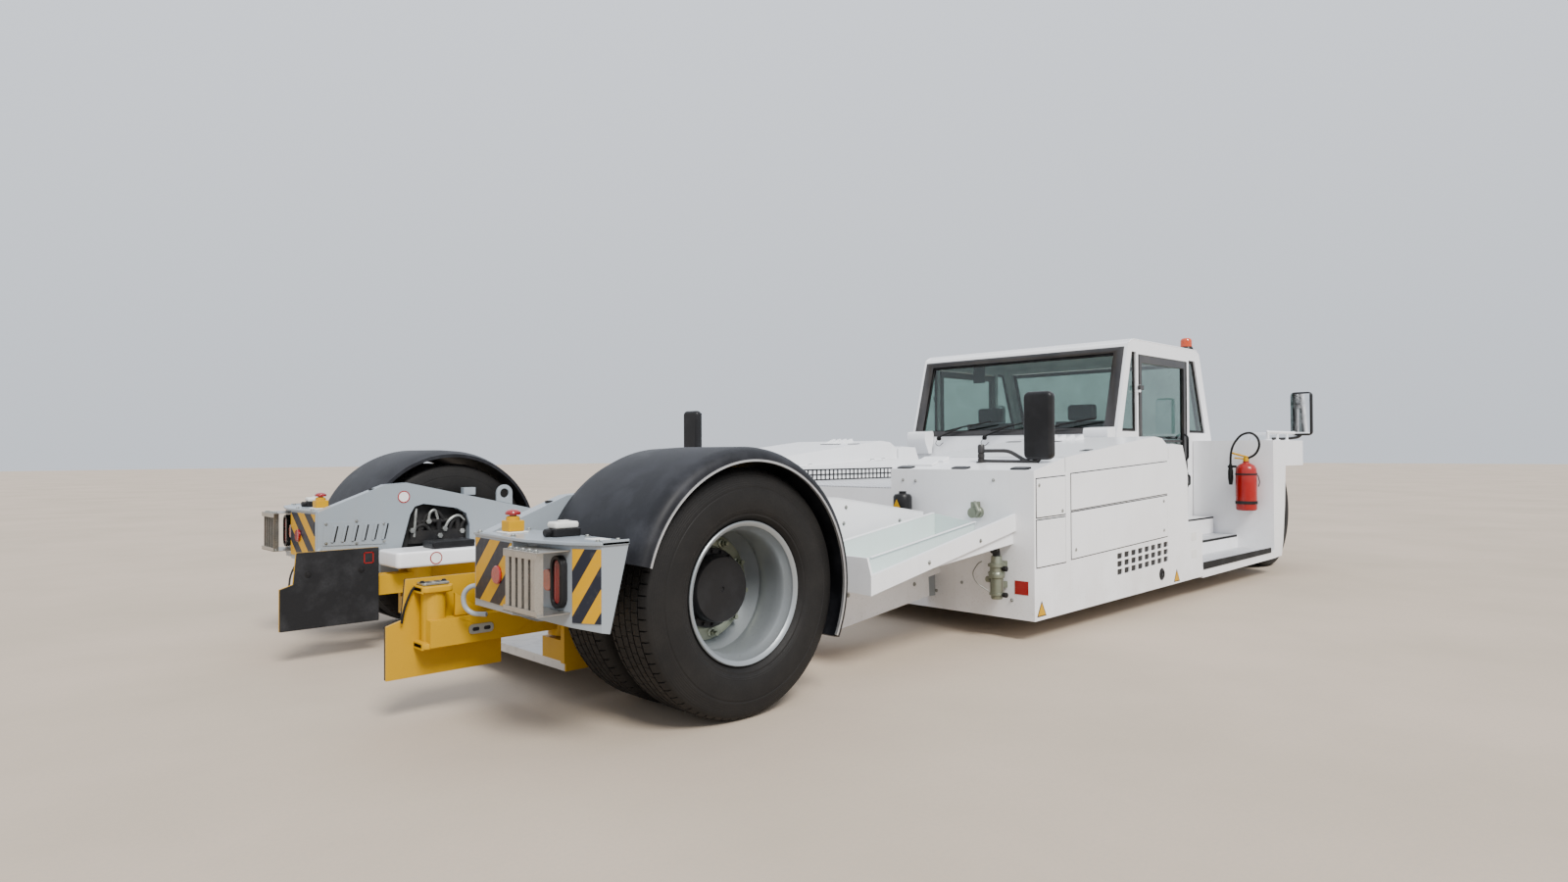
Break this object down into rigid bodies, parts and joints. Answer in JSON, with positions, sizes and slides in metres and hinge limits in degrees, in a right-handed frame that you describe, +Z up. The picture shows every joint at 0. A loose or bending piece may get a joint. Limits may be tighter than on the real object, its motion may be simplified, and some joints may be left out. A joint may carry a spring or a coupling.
{
  "type": "aircraft pushback tractor",
  "caption": "Towbarless aircraft pushback tractor: low body with wide cab, rear arms round a lifting cradle, swing gates that close behind a nose wheel.",
  "frame": {"origin": "on the ground, under the middle of the tractor's length and width", "axes": "+X to the cab end, +Y to the left side, +Z up; pose as parked, wheels straight, cradle low, gates, hoods and doors at rest"},
  "size_m": [8.575, 3.57, 2.165],
  "materials": {
    "grey_paint": "satin paint",
    "dark_iron": "rough, oily",
    "yellow_paint": "gloss paint",
    "bare_steel": "zinc plated",
    "red_lens": "moulded lens",
    "black_plastic": "grained",
    "yellow_plastic": "moulded",
    "white_plastic": "moulded",
    "chequer_plate": "rolled tread plate",
    "white_paint": "gloss paint",
    "black_paint": "satin paint",
    "black_rubber": "matte",
    "lamp_glass": "moulded lens",
    "red_paint": "gloss paint",
    "tinted_glass": "tinted",
    "amber_lens": "moulded lens",
    "mirror_glass": "polished",
    "tyre_rubber": "matte",
    "rim_silver": "silver paint"
  },
  "bodies": {
    "chassis": {"arms": "grey_paint", "arm_fittings": "dark_iron", "rear_boxes": "grey_paint", "hazard_plates": "yellow_paint", "lamp_guards": "bare_steel", "tail_lamps": "red_lens", "lamp_rims": "black_plastic", "stop_boxes": "yellow_plastic", "stop_buttons": "red_lens", "sockets": "white_plastic", "fenders": "black_plastic", "fender_trims": "chequer_plate", "legs": "white_paint", "side_bodies": "white_paint", "centre_frame": "white_paint", "engine": "dark_iron", "deck": "chequer_plate", "deck_grilles": "chequer_plate", "vent_fins": "black_paint", "step_treads": "chequer_plate", "front_shell": "white_paint", "bumper": "black_rubber", "tow_jaw": "dark_iron", "headlamps": "lamp_glass", "handrails": "white_paint", "extinguishers": "red_paint", "couplings": "bare_steel", "lashing_eyes": "grey_paint", "cab_shell": "white_paint", "cab_glass": "tinted_glass", "window_rubbers": "black_rubber", "cab_fittings": "black_plastic", "beacon": "amber_lens", "mirror_arms": "black_paint", "mirror_faces": "mirror_glass", "front_axle": "dark_iron"},
    "hood_left": {"hood_left": "white_paint"},
    "hood_right": {"hood_right": "white_paint"},
    "door_left": {"door_left": "black_paint", "door_glass_left": "tinted_glass"},
    "door_right": {"door_right": "black_paint", "door_glass_right": "tinted_glass"},
    "cradle": {"cradle_frame": "yellow_paint", "cradle_covers": "white_paint", "cradle_stop": "black_rubber"},
    "gate_left": {"gate_left": "yellow_paint", "pad_left": "black_rubber"},
    "gate_right": {"gate_right": "yellow_paint", "pad_right": "black_rubber"},
    "rear_wheel_left": {"tyres_left": "tyre_rubber", "rims_left": "rim_silver"},
    "rear_wheel_right": {"tyres_right": "tyre_rubber", "rims_right": "rim_silver"},
    "knuckle_left": {"knuckle_left": "dark_iron"},
    "knuckle_right": {"knuckle_right": "dark_iron"},
    "front_wheel_left": {"front_tyre_left": "tyre_rubber", "front_rim_left": "rim_silver"},
    "front_wheel_right": {"front_tyre_right": "tyre_rubber", "front_rim_right": "rim_silver"}
  },
  "joints": [
    {"name": "rear_wheel_spin_left", "type": "hinge", "parent": "chassis", "child": "rear_wheel_left", "pos_m": [-3.1925, 1.4, 0.52], "axis": [0, 1, 0], "continuous": true},
    {"name": "steer_left", "type": "hinge", "parent": "chassis", "child": "knuckle_left", "pos_m": [3.6575, 1.2, 0.52], "axis": [0, 0, 1], "range_deg": [-25, 25]},
    {"name": "front_wheel_spin_left", "type": "hinge", "parent": "knuckle_left", "child": "front_wheel_left", "pos_m": [3.6575, 1.38, 0.52], "axis": [0, 1, 0], "continuous": true},
    {"name": "hood_swing_left", "type": "hinge", "parent": "chassis", "child": "hood_left", "pos_m": [-0.6625, 0.714, 0.9757], "axis": [0.999, 0, 0.044], "range_deg": [0, 60]},
    {"name": "door_swing_left", "type": "hinge", "parent": "chassis", "child": "door_left", "pos_m": [1.8485, 1.067, 1.2], "axis": [0, 0, 1], "range_deg": [0, 90]},
    {"name": "rear_wheel_spin_right", "type": "hinge", "parent": "chassis", "child": "rear_wheel_right", "pos_m": [-3.1925, -1.4, 0.52], "axis": [0, 1, 0], "continuous": true},
    {"name": "steer_right", "type": "hinge", "parent": "chassis", "child": "knuckle_right", "pos_m": [3.6575, -1.2, 0.52], "axis": [0, 0, 1], "range_deg": [-25, 25]},
    {"name": "front_wheel_spin_right", "type": "hinge", "parent": "knuckle_right", "child": "front_wheel_right", "pos_m": [3.6575, -1.38, 0.52], "axis": [0, 1, 0], "continuous": true},
    {"name": "hood_swing_right", "type": "hinge", "parent": "chassis", "child": "hood_right", "pos_m": [-0.6625, -0.714, 0.9757], "axis": [-0.999, 0, -0.044], "range_deg": [0, 60]},
    {"name": "door_swing_right", "type": "hinge", "parent": "chassis", "child": "door_right", "pos_m": [1.8485, -1.067, 1.2], "axis": [0, 0, -1], "range_deg": [0, 90]},
    {"name": "cradle_lift", "type": "hinge", "parent": "chassis", "child": "cradle", "pos_m": [-1.9925, 0, 0.3], "axis": [0, 1, 0], "range_deg": [0, 8]},
    {"name": "gate_swing_left", "type": "hinge", "parent": "cradle", "child": "gate_left", "pos_m": [-3.5225, 0.8, 0.365], "axis": [0, 0, 1], "range_deg": [0, 90]},
    {"name": "gate_swing_right", "type": "hinge", "parent": "cradle", "child": "gate_right", "pos_m": [-3.5225, -0.8, 0.365], "axis": [0, 0, -1], "range_deg": [0, 90]}
  ],
  "couplings": [
    {"joint": "steer_right", "follows": "steer_left", "ratio": 1}
  ]
}
